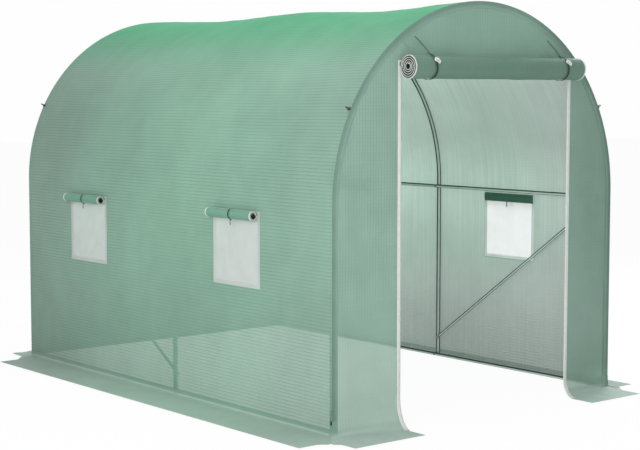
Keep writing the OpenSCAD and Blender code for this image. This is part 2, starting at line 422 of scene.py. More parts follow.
def film(name, colour, lit, inner, clear=None, thread=0.10, through=(0.05, 0.05), wide=False,
         fades_to=None):
    """Woven film. colour is its outer face, lit the light behind it and inner its inner face.
    clear is how see-through it is high up and near the ground, and through is the share of
    light from behind that its outer and its inner face show."""
    m = Maker(name)
    place, u, v, depth = m.cut()
    inside = m.geometry("Backfacing")
    grid = m.math("MAXIMUM", m.line(u, GRID_PITCH, 0.0042),
                  m.times(m.line(v, GRID_PITCH, 0.0036), 0.45))
    weave = m.times(*(m.line(w, WEAVE_PITCH, WEAVE_PITCH / 2) for w in (u, v)))
    weight = m.times(grid, m.cloudy(place, 2.3, 3.0, 0.6, 1.15),
                     m.math("SUBTRACT", 1.0, m.times(inside, 0.7)))
    stretched = m.out("ShaderNodeMapping", {"Vector": place, "Scale": (1.2, 110.0, 1.0)})
    streaks = m.times(m.cloudy(stretched, 1.0, 2.0, -0.02, 0.02),
                      m.plus(0.4, m.times(inside, 2.6)))
    tone = m.plus(m.cloudy(place, 1.3, 2.0, 0.95, 1.05), m.cloudy(place, 7.0, 4.0, -0.03, 0.03))
    tone = m.plus(m.times(tone, m.remap(weight, 0.0, 1.0, 1.02, 1.0 - thread)), streaks)
    # Turns deep in a roll are painted darker: painted shade between the turns.
    shade = m.grey(m.times(tone, m.remap(depth, 0.0, 1.0, 1.0, 0.10)))
    face, glow, outer = inner, lit, colour
    if clear:
        # Painted light and shade: a greener ridge, greyer ends, paler flaps and darker right
        # edges of the end walls.
        shade = m.tinted(shade, cover_painted_light(m) if wide else end_wall_painted_light(m))
        dim = m.grey(inner_dimming(m))
        face, glow = m.tinted(face, dim), m.tinted(glow, dim)
    if fades_to:
        outer = m.blend(m.remap(u, -0.036, -0.008, 0.0, 1.0), fades_to, outer)
    face = m.tinted(m.blend(inside, outer, face), shade)
    height = m.plus(grid, m.times(weave, 0.35), m.times(m.noise(place, 26.0, 3.0), 0.8))
    normal = m.bump(height, 0.0006, 0.55)
    lets = m.plus(through[0], m.times(inside, through[1] - through[0]))
    cloth = m.mixed(lets, m.coat(face, 0.6, 0.14, Normal=normal),
                    m.glow(m.tinted(glow, shade), Normal=normal))
    if not clear:
        return m.done(cloth)
    hole = m.out("ShaderNodeBsdfTransparent", {"Color": (0.97, 1.0, 0.98)})
    _, along, z = m.xyz()
    share = m.times(m.remap(z, 0.38, 0.80, clear[1], clear[0]),
                    m.remap(z, 0.010, 0.045, 0.4, 1.0), m.remap(along, 0.2, 1.3, 1.0, 0.5))
    return m.done(m.mixed(m.times(m.remap(grid, 0.0, 1.0, 1.08, 0.6), share), cloth, hole))


def inner_dimming(m):
    """How much light the inner face gets: less near the ground and under the roof."""
    _, along, z = m.xyz()
    rise = m.times(m.remap(z, 0.0, 1.15, 0.50, 1.16), m.remap(z, 1.0, 1.42, 1.0, 0.71))
    return m.times(m.plus(rise, m.remap(z, 1.55, 1.85, 0.0, 0.16)),
                   m.remap(along, -0.9, 1.0, 0.93, 1.22))


def cover_painted_light(m):
    """Painted light on the cover: a stronger green along the ridge, as lit from above, and
    painted shade that greys its ends in soft patches.
    """
    _, along, z = m.xyz()
    crown = m.remap(z, 1.72, 2.10, 0.0, 1.0)
    ends = m.math("MAXIMUM", m.remap(along, 0.1, 1.6, 0.0, 1.0),
                  m.remap(along, -0.5, -1.5, 0.0, 0.55))
    end_shade = m.times(ends, m.cloudy(m.objects(), 1.7, 2.0, 0.75, 1.2),
                   m.math("SUBTRACT", 1.0, crown))
    return m.tinted(m.blend(crown, WHITE, (0.30, 0.84, 0.57)),
                    m.blend(end_shade, WHITE, (0.95, 0.81, 0.88)), flap_painted_light(m))


def end_wall_painted_light(m):
    """Painted shade: the end walls are a little darker towards their right edges, away from the
    light.
    """
    across, _, z = m.xyz()
    darker = m.times(m.remap(across, 0.35, 0.95, 0.0, 0.22), m.remap(z, 0.03, 0.15, 0.0, 1.0))
    return m.tinted(flap_painted_light(m), m.grey(m.math("SUBTRACT", 1.0, darker)))


def flap_painted_light(m):
    """Painted light: the flaps on the ground are a little paler."""
    return m.blend(m.remap(m.xyz()[2], 0.008, 0.030, 1.0, 0.0), WHITE, (1.35, 1.15, 1.23))


def mesh_net(name):
    """Fine white insect net."""
    m = Maker(name)
    place, u, v, _ = m.cut()
    threads = m.math("MAXIMUM", m.line(u, NET_PITCH, 0.0007), m.line(v, NET_PITCH, 0.0007))
    face = m.tinted((0.90, 0.92, 0.915), m.grey(m.cloudy(place, 9.0, 3.0, 0.95, 1.0)))
    normal = m.bump(m.plus(threads, m.noise(place, 9.0, 3.0)), 0.0004, 0.4)
    lets = m.plus(0.25, m.times(m.geometry("Backfacing"), 0.28))
    cloth = m.mixed(lets, m.coat(face, 0.7, 0.2, Normal=normal), m.glow(face, Normal=normal))
    hole = m.out("ShaderNodeBsdfTransparent", {"Color": WHITE})
    return m.done(m.mixed(m.remap(threads, 0.0, 1.0, 0.40, 0.10), cloth, hole))


def tape(name, colour, lit, rib=0.0016):
    """Woven tape or webbing with ribs across it, which lets a little light through."""
    m = Maker(name)
    _, u, v, _ = m.cut()
    ribs, edge = m.line(v, rib, rib / 2), m.line(u, rib * 2.0, rib)
    tone = m.times(m.cloudy(m.objects(), 60.0, 4.0, 0.95, 1.03),
                   m.remap(ribs, 0.0, 1.0, 0.93, 1.0))
    normal = m.bump(m.plus(m.times(ribs, 0.6), m.times(edge, 0.4)), 0.0004, 0.6)
    front = m.coat(m.tinted(colour, m.grey(tone)), 0.65, 0.3, Normal=normal)
    return m.done(m.mixed(0.12, front, m.glow(lit)))


def coated_steel(name, colour, painted_highlight, way):
    """Satin coat on steel tube, scuffed a little. A painted highlight lightens the side that
    faces way, and the tubes on the left get painted light: most of the way to the highlight's
    colour all round."""
    m = Maker(name)
    where = m.objects()
    scuffs = m.noise(where, 30.0, 4.0)
    tone = m.times(m.remap(scuffs, 0.35, 0.75, 0.97, 1.03), m.cloudy(where, 3.0, 2.0, 0.94, 1.05))
    toward_highlight = m.out("ShaderNodeVectorMath", {0: m.geometry("Normal"), 1: Vector(way).normalized()},
                   "Value", operation="DOT_PRODUCT")
    left_pale = m.remap(m.xyz()[0], -0.9, -0.6, 1.0, 0.0)
    coat = m.blend(m.times(left_pale, 0.9), colour, painted_highlight)
    face = m.blend(m.remap(toward_highlight, 0.74, 0.97, 0.0, 1.0), coat, painted_highlight)
    return m.done(m.coat(m.tinted(face, m.grey(tone)), m.remap(scuffs, 0.3, 0.7, 0.30, 0.38), 0.2,
                         Metallic=0.25))


def moulded(name, colour, rough):
    """Moulded plastic with a fine grain."""
    m = Maker(name)
    grain = m.noise(m.objects(), 420.0, 3.0)
    face = m.tinted(colour, m.grey(m.cloudy(m.objects(), 40.0, 3.0, 0.90, 1.06)))
    return m.done(m.coat(face, m.remap(grain, 0.3, 0.7, rough - 0.06, rough + 0.08), 0.5,
                         Normal=m.bump(grain, 0.0002, 0.3)))


GREEN = (0.265, 0.465, 0.355)
END_GREEN = (0.290, 0.452, 0.374)
GREEN_LIT = (0.80, 0.96, 0.88)
# The inner face is paler than the outer: partly a paler inner side of the film, partly painted
# light for the light that comes in through the cover.
PALE_INNER = (0.45, 0.575, 0.515)
GLOW_THROUGH = (0.05, 0.21)
# A dark coat, and the colour of its painted highlight.
TUBE_AND_HIGHLIGHT_COLOURS = (0.032, 0.055, 0.045), (0.62, 0.72, 0.68)
cover_film = film("cover_film", GREEN, GREEN_LIT, PALE_INNER, (0.03, 0.15), 0.20,
                  GLOW_THROUGH, wide=True)
end_film = film("end_film", END_GREEN, GREEN_LIT, PALE_INNER, (0.04, 0.18), 0.11, GLOW_THROUGH)
# The seam is painted darker than the walls, as painted shade of the end hoop behind it; it fades
# into the end walls' green at one edge.
seam_painted_shade_film = film("seam_painted_shade_film", (0.195, 0.322, 0.262), GREEN_LIT, PALE_INNER, (0.02, 0.08), 0.08,
                 GLOW_THROUGH, fades_to=END_GREEN)
roll_film = film("roll_film", (0.160, 0.272, 0.217), (0.1, 0.2, 0.15), (0.10, 0.18, 0.14))
window_film = film("window_film", (0.20, 0.415, 0.312), (0.2, 0.4, 0.3), (0.16, 0.32, 0.24))
# The window heads' band is painted very dark: painted shade of the rolled flaps outside.
header_painted_shade_film = film("header_painted_shade_film", (0.075, 0.17, 0.125), (0.1, 0.2, 0.15), (0.075, 0.17, 0.125))
hem_film = film("hem_film", (0.56, 0.61, 0.585), (0.82, 0.93, 0.88), (0.66, 0.76, 0.71),
                thread=0.05, through=(0.05, 0.30))
net = mesh_net("window_net")
white_tape = tape("white_tape", (0.88, 0.90, 0.87), (0.8, 0.82, 0.8))
webbing = tape("webbing", (0.014, 0.052, 0.033), (0.02, 0.07, 0.04))
tail_webbing = tape("tail_webbing", (0.145, 0.245, 0.190), (0.06, 0.13, 0.10))
# Each steel's second colour is a painted highlight, laid on the side that faces the given way.
hoop_steel = coated_steel("hoop_steel", *TUBE_AND_HIGHLIGHT_COLOURS, (-0.62, -0.78, 0.0))
rail_steel = coated_steel("rail_steel", *TUBE_AND_HIGHLIGHT_COLOURS, (-0.95, 0.0, -0.25))
brace_steel = coated_steel("brace_steel", *TUBE_AND_HIGHLIGHT_COLOURS, (-0.845, -0.278, -0.456))
bolt_steel = coated_steel("bolt_steel", (0.20, 0.23, 0.22), (0.5, 0.54, 0.52), (0, -0.8, 0.6))
buckle_plastic = moulded("buckle_plastic", (0.86, 0.89, 0.86), 0.42)
clip_plastic = moulded("clip_plastic", (0.030, 0.050, 0.040), 0.5)


# ---- cover with its side flaps

RIDGE_SAG = 0.022
SHOULDER_SAG = 0.008
WALL_SAG = 0.005
BEND_R = 0.012


def bay_share(y):
    """0 at a hoop and 1 midway between two hoops."""
    first = (y - hoop_y[0]) / (hoop_y[1] - hoop_y[0])
    second = (y - hoop_y[1]) / (hoop_y[2] - hoop_y[1])
    t = np.clip(np.where(y < hoop_y[1], first, second), 0, 1)
    return t * (1 - t) + 0.75 * np.sin(math.pi * t) ** 2


def half_section(side):
    """The cover's section from a flap's edge to the ridge: X and Z from the tunnel's middle,
    and the outward normal, as if on the right side."""
    flap = side * (flap_x[side] - centre_x)
    laid = stacked(spaced([flap, skin_r + BEND_R], STEP), LAID_Z, 0.0, 1.0)
    a = np.radians(np.linspace(0, 90, 6)[1:-1])
    c, s = np.cos(a), np.sin(a)
    bend = stacked(skin_r + BEND_R * (1 - s), LAID_Z + BEND_R * (1 - c), s, c)
    wall = stacked(skin_r, spaced([BEND_R, *window_z, wall_h], STEP), 1.0, 0.0)
    a = np.radians(spaced([0, 90], COVER_ARC)[1:])
    c, s = np.cos(a), np.sin(a)
    roof = stacked(skin_r * c, wall_h + skin_r * s, c, s)
    return np.concatenate([laid, bend, wall, roof])


def section():
    """The cover's whole section, from the left flap's edge to the right one."""
    return np.concatenate([half_section(-1) * (-1, 1, -1, 1), half_section(1)[:-1][::-1]])


def flap_reach(x, end):
    """Where the side flaps end along Y, at each X."""
    out = np.full(len(x), front_y if end < 0 else back_y)
    for side in (-1, 1):
        corner, seam, tip, _ = notch_points(side, end)
        at = side * (x - corner[0]) > 0
        out[at] = read_line([corner, seam, tip, (flap_x[side], tip[1])], x[at])
    return out


def near_window(y, z, margin):
    """1 in and round a window, falling to 0 at margin from it."""
    best = np.zeros(np.broadcast(y, z).shape)
    for y0, y1 in window_y:
        dy = np.maximum(np.maximum(y0 - y, y - y1), 0)
        dz = np.maximum(np.maximum(window_z[0] - z, z - window_z[1]), 0)
        best = np.maximum(best, 1 - smooth(np.hypot(dy, dz), 0.01, margin))
    return best


def cover_billow(s, y, z):
    """How far the cover lies outside its plain section, at each point."""
    roof = smooth(z, wall_h + 0.1, wall_h + outer_r)
    shoulder = smooth(z, purlin_z, wall_h + 0.5) * (1 - roof)
    wall = (1 - smooth(z, wall_h - 0.2, wall_h + 0.3)) * smooth(z, 0.0, 0.25)
    free = bay_share(y)
    sag = -(RIDGE_SAG * roof + SHOULDER_SAG * shoulder + WALL_SAG * wall) * free
    creases = crumple(y, s, 0.30, 0.9, 3) * 0.0013 + crumple(y, s, 0.11, 0.5, 4) * 0.0006
    near_foot = np.exp(-np.maximum(z, 0) / 0.22) * smooth(z, 0.0, 0.03)
    creases += np.abs(crumple(y, s, 0.16, 0.8, 5)) * 0.0035 * near_foot
    return (sag + creases * smooth(free, 0.0, 0.35)) * (1 - near_window(y, z, 0.10))


def flap_waves(x, y, share):
    """How far the side flaps lie above the ground, at each X from the tunnel's middle."""
    to_edge = np.where(x < 0, centre_x - flap_x[-1] + x, flap_x[1] - centre_x - x)
    out_from_wall = smooth(np.abs(x), outer_r + 0.02, outer_r + 0.10) * smooth(to_edge, 0.0, 0.06)
    return (np.abs(crumple(y, x, 0.24, 0.5, 6)) * 0.003 * out_from_wall
            * edge_fade(0.04, share, 1 - share))


def outside_windows(z, nx, y_lines):
    """Which of the cover's quads are cloth, not window."""
    mid_z, mid_y = (z[1:] + z[:-1]) / 2, (y_lines[1:] + y_lines[:-1]) / 2
    in_z = (mid_z > window_z[0]) & (mid_z < window_z[1]) & (np.abs(nx[1:]) > 0.99)
    in_y = np.any([(mid_y > y0) & (mid_y < y1) for y0, y1 in window_y], axis=0)
    return ~(in_z[:, None] & in_y)


def make_cover():
    x, z, nx, nz = section().T
    s = lengths(stacked(x, z))
    y_lines = spaced([front_y, hoop_y[0], *window_y[0], hoop_y[1], *window_y[1], hoop_y[2],
                      back_y], STEP)
    share = (y_lines - front_y) / (back_y - front_y)
    start, stop = flap_reach(centre_x + x, -1), flap_reach(centre_x + x, 1)
    y = start[:, None] + (stop - start)[:, None] * share
    keep = outside_windows(z, nx, y_lines)
    x, z, nx, nz, s = (part[:, None] for part in (x, z, nx, nz, s))
    off = np.where(np.abs(x) > outer_r + 0.002, flap_waves(x, y, share), cover_billow(s, y, z))
    cloth = Patches()
    cloth.add(stacked(centre_x + x + nx * off, y, z + nz * off), stacked(s, y - front_y), keep,
              flip=True)
    obj = cloth.piece("cover", cover_film, "cover_fabric")
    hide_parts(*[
        f"{side}_{part}" for side in ("left", "right")
        for part in ("wall_front", "wall_back", "roof_low", "roof_middle", "roof_top",
                     "ground_flap")])


# ---- end walls with their flaps

FLAP_ROWS = 11
FOOT_ROWS = 8


def arch_top(x):
    """The height of the arch at each X from the tunnel's middle."""
    return wall_h + np.sqrt(np.maximum(skin_r**2 - x**2, 0))


def front_flap_x(y, side, share):
    """X on a front flap at each Y, from its outer edge (share 0) to its inner one."""
    corner, seam, _, tip = notch_points(side, -1)
    laid = door_x[side] - FLAP_DRIFT
    outer = read_line([corner[::-1], seam[::-1], tip[::-1], (flap_front, tip[0])], y)
    inner = read_line([(front_y, door_x[side]), (front_y - TRIM_REACH[side], laid),
                       (flap_front, laid)], y)
    joint = front_y - y
    outer += side * UNDER_LAP * (1 - smooth(joint, 0.05, front_y - seam[1])) * (joint > 0)
    return outer + (inner - outer) * share


def front_creases(x, z):
    """Folds that run from each door strap up to the left."""
    off = np.zeros(np.broadcast(x, z).shape)
    way = (-0.775, 0.632)
    for strap in strap_places:
        right, up = x - strap, z - roll_axis[2] - 0.02
        along = right * way[0] + up * way[1]
        across = right * way[1] - up * way[0]
        fade = smooth(along, -0.02, 0.01) * (1 - smooth(along, 0.11, 0.18))
        off += 0.0060 * fade * np.exp(-(across / 0.0065) ** 2)
        off -= 0.0030 * fade * np.exp(-((across - 0.014) / 0.009) ** 2)
    return off


def wall_folds(x, z):
    """Soft unevenness of the front wall."""
    return crumple(x, z, 0.16, 0.6, 9) * 0.0018 + crumple(x, z, 0.45, 0.5, 10) * 0.003


def wall_columns(side):
    """X of each column from the tunnel's middle, from the outer edge to the doorway."""
    door = door_x[side] - centre_x
    start = math.degrees(math.acos(min(1, abs(door) / skin_r)))
    columns = side * skin_r * np.cos(np.radians(spaced([0, start], WALL_ARC)))
    columns[-1] = door
    return columns


def front_wall_points(x0, z, fade):
    """The front wall at each X from the tunnel's middle and each height, its folds faded."""
    x = centre_x + x0
    off = wall_folds(x, z) * fade + front_creases(x, z)
    return stacked(x, front_y + film_t / 2 - off, z)


def side_of_door(side):
    """The front wall on one side of the doorway, from its flap's edge up to the arch."""
    x0 = wall_columns(side)
    share = (x0 - x0[0]) / (x0[-1] - x0[0])
    cove_h, least, power = COVE[side]
    reach = TRIM_REACH[side] * (least + (1 - least) * share**power)
    r = np.linspace(1, 0, FLAP_ROWS)[:, None]
    y = front_y - (reach + (front_y - flap_front - reach) * r)
    x = front_flap_x(y, side, share)
    ripple = np.abs(crumple(x, y, 0.20, 0.3, 8)) * 0.003 * smooth(r, 0.05, 0.4)
    ripple *= (1 - smooth(r, 0.7, 0.95)) * edge_fade(0.2, share, 1 - share)
    flap = stacked(x, y, LAID_Z + ripple)
    a = np.radians(np.linspace(90, 0, FOOT_ROWS + 1)[1:, None])
    y = front_y - reach * (1 - np.cos(a))
    x = front_flap_x(y, side, share)
    x[:, 0] = centre_x + x0[0]
    foot = stacked(x, y + film_t / 2 * np.cos(a), LAID_Z + (cove_h - LAID_Z) * (1 - np.sin(a)))
    top, arch = arch_top(x0[-1]), arch_top(x0)
    h = spaced([cove_h, 0.4, purlin_z, door_top, top], STEP)[1:, None]
    z = cove_h + (h - cove_h) / (top - cove_h) * (arch - cove_h)
    fade = edge_fade(0.08, arch - z, outer_r - np.abs(x0)) * (1 - smooth(share, 0.9, 1.0))
    return np.concatenate([flap, foot, front_wall_points(x0, z, fade)])


def side_cut(grid, cove_h):
    """The places in the flat cloth of one side: along the cloth up to the wall, then up."""
    laid_rows = FLAP_ROWS + FOOT_ROWS
    run = lengths(grid[:, -1])[:, None]
    laid = np.arange(len(grid))[:, None] < laid_rows
    up = np.where(laid, run - run[laid_rows - 1], grid[:, :, 2] - cove_h)
    return stacked(grid[:, :, 0], up + cove_h)


def above_door():
    x0 = spaced([door_x[-1] - centre_x, 0, door_x[1] - centre_x], 0.008)
    arch = arch_top(x0)
    steps = max(len(spaced([door_top, top], STEP)) - 1 for top in (arch[0], arch[-1]))
    z = door_top + np.linspace(0, 1, 3 * steps + 1)[:, None] * (arch - door_top)
    fade = edge_fade(0.08, arch - z, z - door_top) * edge_fade(0.05, x0 - x0[0], x0[-1] - x0)
    return front_wall_points(x0, z, fade)


def make_front_wall():
    cloth = Patches()
    for side in (-1, 1):
        grid = side_of_door(side)
        cloth.add(grid, side_cut(grid, COVE[side][0]), flip=side > 0)
    grid = above_door()
    cloth.add(grid, grid[:, :, [0, 2]])
    obj = cloth.piece("front_wall", end_film, "cover_fabric", weld=0.0004)
    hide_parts("front_wall_left", "front_wall_right", "front_wall_top",
                "front_ground_flap_left", "front_ground_flap_right")


def back_wall_grid():
    x0 = -skin_r * np.cos(np.radians(spaced([0, 90, 180], WALL_ARC)))
    x, arch = centre_x + x0, arch_top(x0)
    z = LAID_Z + spaced([0, 1], 0.0105)[:, None] * (arch - LAID_Z)
    off = crumple(x, z, 0.18, 0.7, 11) * 0.002 + crumple(x, z, 0.5, 0.5, 12) * 0.004
    off += np.abs(crumple(x, z, 0.14, 0.8, 13)) * 0.003 * np.exp(-z / 0.2)
    off *= edge_fade(0.08, arch - z, outer_r - np.abs(x0)) * smooth(z, 0, 0.05)
    return stacked(x, back_y - film_t / 2 + off, z)


def back_flap_grid():
    corner, seam, _, tip = zip(notch_points(-1, 1), notch_points(1, 1))
    step = 0.004
    near = [seam[0], corner[0], corner[1], seam[1]]
    far = [seam[0], tip[0], (tip[0][0] + step, flap_back), (tip[1][0] - step, flap_back),
           tip[1], seam[1]]
    x = spaced(sorted(set(float(p[0]) for p in near + far)), STEP)
    y0, y1 = read_line(near, x), read_line(far, x)
    t = np.linspace(0, 1, 8)[:, None]
    y = y0 + (y1 - y0) * t
    return stacked(x, y, LAID_Z + np.abs(crumple(x, y, 0.22, 0.3, 14)) * 0.004
                   * smooth(t, 0.1, 0.6))


def make_back_wall():
    cloth = Patches()
    grid = back_wall_grid()
    cloth.add(grid, grid[:, :, [0, 2]], flip=True)
    grid = back_flap_grid()
    cloth.add(grid, grid[:, :, :2])
    obj = cloth.piece("back_wall_cloth", end_film, "cover_fabric")
    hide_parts("back_wall", "back_ground_flap")


# ---- windows

HEADER_H = 0.046
BORDER_LAP = 0.004
BORDER_INSET = 0.018


def pane_grid(side, index):
    """A window's net, with a soft fold across its lower part."""
    (y0, y1), (z0, z1) = window_y[index], window_z
    y, z = np.meshgrid(spaced([y0 + 0.004, y1 - 0.004], 0.012),
                       spaced([z0 + 0.004, z1 - 0.004], 0.012))
    u, v = (y - y0) / (y1 - y0), (z - z0) / (z1 - z0)
    inside = edge_fade(0.15, u, 1 - u, v, 1 - v)
    fold = (u * 0.75 + v) - 0.42 if side < 0 else (u - v) - 0.5
    off = crumple(y, z, 0.10, 0.16, 20 + index) * 0.0015 * inside
    off += 0.004 * np.exp(-(fold / 0.05) ** 2) * inside * (1 - smooth(v, 0.25, 0.5))
    return stacked(centre_x + side * (skin_r - 0.001 + off), y, z)


def header_grid(side, index):
    """The band of cloth inside a window's head, painted very dark as the shade that the rolled
    flap outside casts on it.
    """
    (y0, y1), z1 = window_y[index], window_z[1]
    y, z = np.meshgrid(spaced([y0 + 0.002, y1 - 0.002], 0.015),
                       spaced([z1 - HEADER_H, z1 + 0.003], 0.012))
    pull = 0.002 * np.sin((z - z1) / HEADER_H * math.pi) + crumple(y, z, 0.1, 0.1, 24) * 0.0006
    return stacked(centre_x + side * (skin_r - 0.006 + pull), y, z)


def window_corners(index, grow):
    (y0, y1), (z0, z1) = window_y[index], window_z
    return np.array([(y0 - grow, z0 - grow), (y1 + grow, z0 - grow), (y1 + grow, z1 + grow),
                     (y0 - grow, z1 + grow)])


def border_grids(side, index):
    """The four strips of hem round a window, from just outside the hole to within it."""
    outer, inner = window_corners(index, BORDER_LAP), window_corners(index, -BORDER_INSET)
    w = np.linspace(0, 1, 4)[:, None]
    x = centre_x + side * (outer_r + 0.0007 + 0.0012 * np.sin(math.pi * w) - 0.002 * w)
    w = w[..., None]
    for k in range(4):
        a, b = (outer[i] * (1 - w) + inner[i] * w for i in (k, (k + 1) % 4))
        line = a + (b - a) * np.linspace(0, 1, 24)[:, None]
        grid = stacked(x, line[..., 0], line[..., 1])
        yield grid[::-1] if side < 0 else grid


def make_windows():
    for side, name in SIDES:
        panes, borders, headers = Patches(), Patches(), Patches()
        for index in (0, 1):
            for cloth, grid in ((panes, pane_grid(side, index)),
                                (headers, header_grid(side, index))):
                cloth.add(grid, grid[:, :, 1:], flip=side < 0)
            for grid in border_grids(side, index):
                borders.add(grid, grid[:, :, 1:])
        pane = panes.piece(f"{name}_window_nets", net, "window_mesh")
        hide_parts(f"{name}_window_mesh")
        border = borders.piece(f"{name}_window_borders", hem_film, "cover_fabric")
        header = headers.piece(f"{name}_window_headers", header_painted_shade_film, "rolled_fabric")


# ---- rolled cloth

CORE_SHARES = (2.0, 3.6)  # the turns widen between these many times the core's radius


def spiral(r_out, r_core, pitch, tight, tail, step=0.0045):
    """A rolled sheet's section: out from the core as radius and angle, then up the wall.
    tight is the pitch near the core."""
    points, phi, r = [], 0.0, r_out
    while r > r_core:
        points.append((r, phi))
        turn = step / max(r, 0.012)
        wide = float(smooth(r, r_core * CORE_SHARES[0], r_core * CORE_SHARES[1]))
        r -= (tight + (pitch - tight) * wide) * turn / (2 * math.pi)
        phi -= turn
    return np.array(points[::-1]), np.arange(step, tail, step)


def make_roll(name, node, start, along, to_wall, length, r_out, r_core, pitch, tight, tail,
              material, thick, squeeze, seed, binding_w, bound_from, rim_t, inner_t):
    """A rolled-up flap: one sheet wound into a spiral, with white tape round both ends. The
    tape shows on the turns that lie further out than bound_from."""
    winding, straight = spiral(r_out, r_core, pitch, tight, tail)
    start, along, to_wall = (np.asarray(v, float) for v in (start, along, to_wall))

    def turns(stations, least_r=0.0):
        """The cloth's points in the roll at those places along it, beyond least_r."""
        a = stations[:, None]
        r, phi = winding[winding[:, 0] >= least_r].T
        bulge = squeeze(a) + crumple(a, phi % (2 * math.pi), 0.17, 5.0, seed) * 0.0012
        r = (r + bulge * smooth(r, r_core, r_out) * (1 - np.cos(phi)) / 2)[..., None]
        phi = phi[:, None]
        return start + a[..., None] * along + r * np.cos(phi) * to_wall + r * np.sin(phi) * UP

    places = spaced([0, binding_w, length - binding_w, length], 0.018)
    up_wall = (start + places[:, None, None] * along + r_out * to_wall
               + straight[:, None] * UP)
    grid = np.concatenate([turns(places), up_wall], axis=1)
    run = lengths(grid[0])
    within = np.concatenate([r_out - winding[:, 0], np.zeros(len(straight))])
    cloth = Patches()
    # The cut's third value darkens the inner turns: painted shade between the turns.
    cloth.add(grid, stacked(places[:, None], run, smooth(within, pitch * 0.75, pitch * 1.15)))
    obj = cloth.piece(name, material, "rolled_fabric")
    thicken(obj, thick)
    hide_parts(node)
    bands = []
    for part, least_r, deep, thickness in (("bindings", bound_from, 0.0008, inner_t),
                                           ("rims", r_out - pitch, binding_w, rim_t)):
        tapes = Patches()
        for a0, a1 in ((-0.001, deep), (length - deep, length + 0.001)):
            stations = np.linspace(a0, a1, 4)
            strip = turns(stations, least_r)
            tapes.add(strip, stacked(stations[:, None], run[-strip.shape[1]:]))
        bands.append(tapes.piece(f"{name}_{part}", white_tape, "zip_trim"))
        thicken(bands[-1], thickness)


def door_squeeze(a):
    """The roll swells between its straps and is drawn in under them."""
    total = 0.0012 * np.sin(a * 9.0) + 0.001 * np.sin(a * 17.0 + 1.0)
    for strap in strap_places:
        total -= 0.0030 * np.exp(-((a + roll_start - strap) / 0.035) ** 2)
    return total


def tie_squeeze(a):
    """A window's roll is drawn in under its tie."""
    return -0.002 * np.exp(-((a - 0.20) / 0.03) ** 2)


def make_door_roll():
    make_roll(
        "rolled_door", "door_roll", (roll_start, *roll_axis[1:]), (1, 0, 0), (0, 1, 0),
        high("door_roll")[0] - roll_start, r_out=roll_r - 0.0026, r_core=0.006, pitch=0.0107,
        tight=0.0026, tail=roll_r * 0.4, material=roll_film, thick=0.0015,
        squeeze=door_squeeze, seed=31, binding_w=0.005, bound_from=0.014, rim_t=0.0048,
        inner_t=0.0032)


def make_window_rolls():
    for side, name in SIDES:
        for end in ("front", "back"):
            node = f"{name}_window_roll_{end}"
            a, b = low(node), high(node)
            r = (b[0] - a[0]) / 2
            make_roll(
                f"rolled_flap_{name}_{end}", node, ((a[0] + b[0]) / 2, a[1], a[2] + r),
                (0, 1, 0), (-side, 0, 0), b[1] - a[1], r_out=r - 0.0014, r_core=0.004,
                pitch=0.0062, tight=0.0030, tail=r * 0.8, material=window_film, thick=0.0013,
                squeeze=tie_squeeze, seed=40 + (side > 0) * 2 + (end == "back"),
                binding_w=0.007, bound_from=0.0125, rim_t=0.0034, inner_t=0.0014)


# ---- straps, ties and buckles

TIE_W = 0.0065
TIE_T = 0.0012


def band(path, width_way, width, thick):
    """A flat band along a path, as points and faces."""
    return solid_sweep(path, rounded_profile(width, thick, thick * 0.4, 2), width_way)


def make_straps():
    for x, label in zip(strap_places, ("left", "right")):
        path = []
        for a in np.radians(spaced([80, 330], 5)):
            r = roll_r + 0.0011 - 0.003 * (1 - math.cos(a)) / 2
            path.append((x + 0.004 * math.sin(2 * a), roll_axis[1] + r * math.cos(a),
                         roll_axis[2] + r * math.sin(a)))
        strap = band(path, (1, 0, 0), 0.010, 0.0015)
        obj = joined(f"door_strap_{label}", [strap], webbing)
        if label == "left":
            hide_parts("door_straps")


def make_strap_tails():
    """The thin end of each door strap, lying up the wall above the roll."""
    parts = []
    for strap in strap_places:
        way = np.linspace(0, 1, 12)
        x = strap + 0.087 - 0.118 * way
        z = roll_axis[2] + roll_r - 0.016 + 0.100 * way + 0.006 * np.sin(math.pi * way)
        y = front_y - 0.0012 - wall_folds(x, z) - front_creases(x, z)
        parts.append(band(stacked(x, y, z), (0.62, 0.0, 0.78), 0.0052, 0.0014))
    joined("door_strap_tails", parts, tail_webbing)


def make_buckles():
    """Ladder buckles: a rounded frame, a bar across its middle, and a lifting tab."""
    lean, turn = math.radians(26), math.radians(-36)
    out = np.array([0, -math.cos(lean), math.sin(lean)])
    up = np.array([0, math.sin(lean), math.cos(lean)])
    across = np.array([math.cos(turn), 0, 0]) + math.sin(turn) * up
    rise = np.array([-math.sin(turn), 0, 0]) + math.cos(turn) * up
    w, h = 0.036, 0.020
    parts = []
    for x in strap_places:
        centre = roll_axis + np.array([x + 0.002, 0, 0]) + out * (roll_r + 0.0042)
        outline = [centre + a * across + b * rise
                   for a, b in rounded_profile(w - 0.004, h - 0.004, 0.0025)]
        bar = [centre + s * across + 0.0004 * out
               for s in np.linspace(-w / 2 + 0.002, w / 2 - 0.002, 5)]
        tab = [centre + (h / 2 - 0.003 + s) * rise + (0.0012 + 0.10 * s) * out
               for s in np.linspace(0, 0.006, 4)]
        parts += [
            solid_sweep(outline, rounded_profile(0.0052, 0.0036, 0.0012, 2), out, closed=True),
            solid_sweep(bar, rounded_profile(0.0040, 0.0034, 0.0012, 2), out),
            solid_sweep(tab, rounded_profile(0.012, 0.0022, 0.0009, 2), across)]
    joined("door_strap_buckles", parts, buckle_plastic, ["door_buckles"])


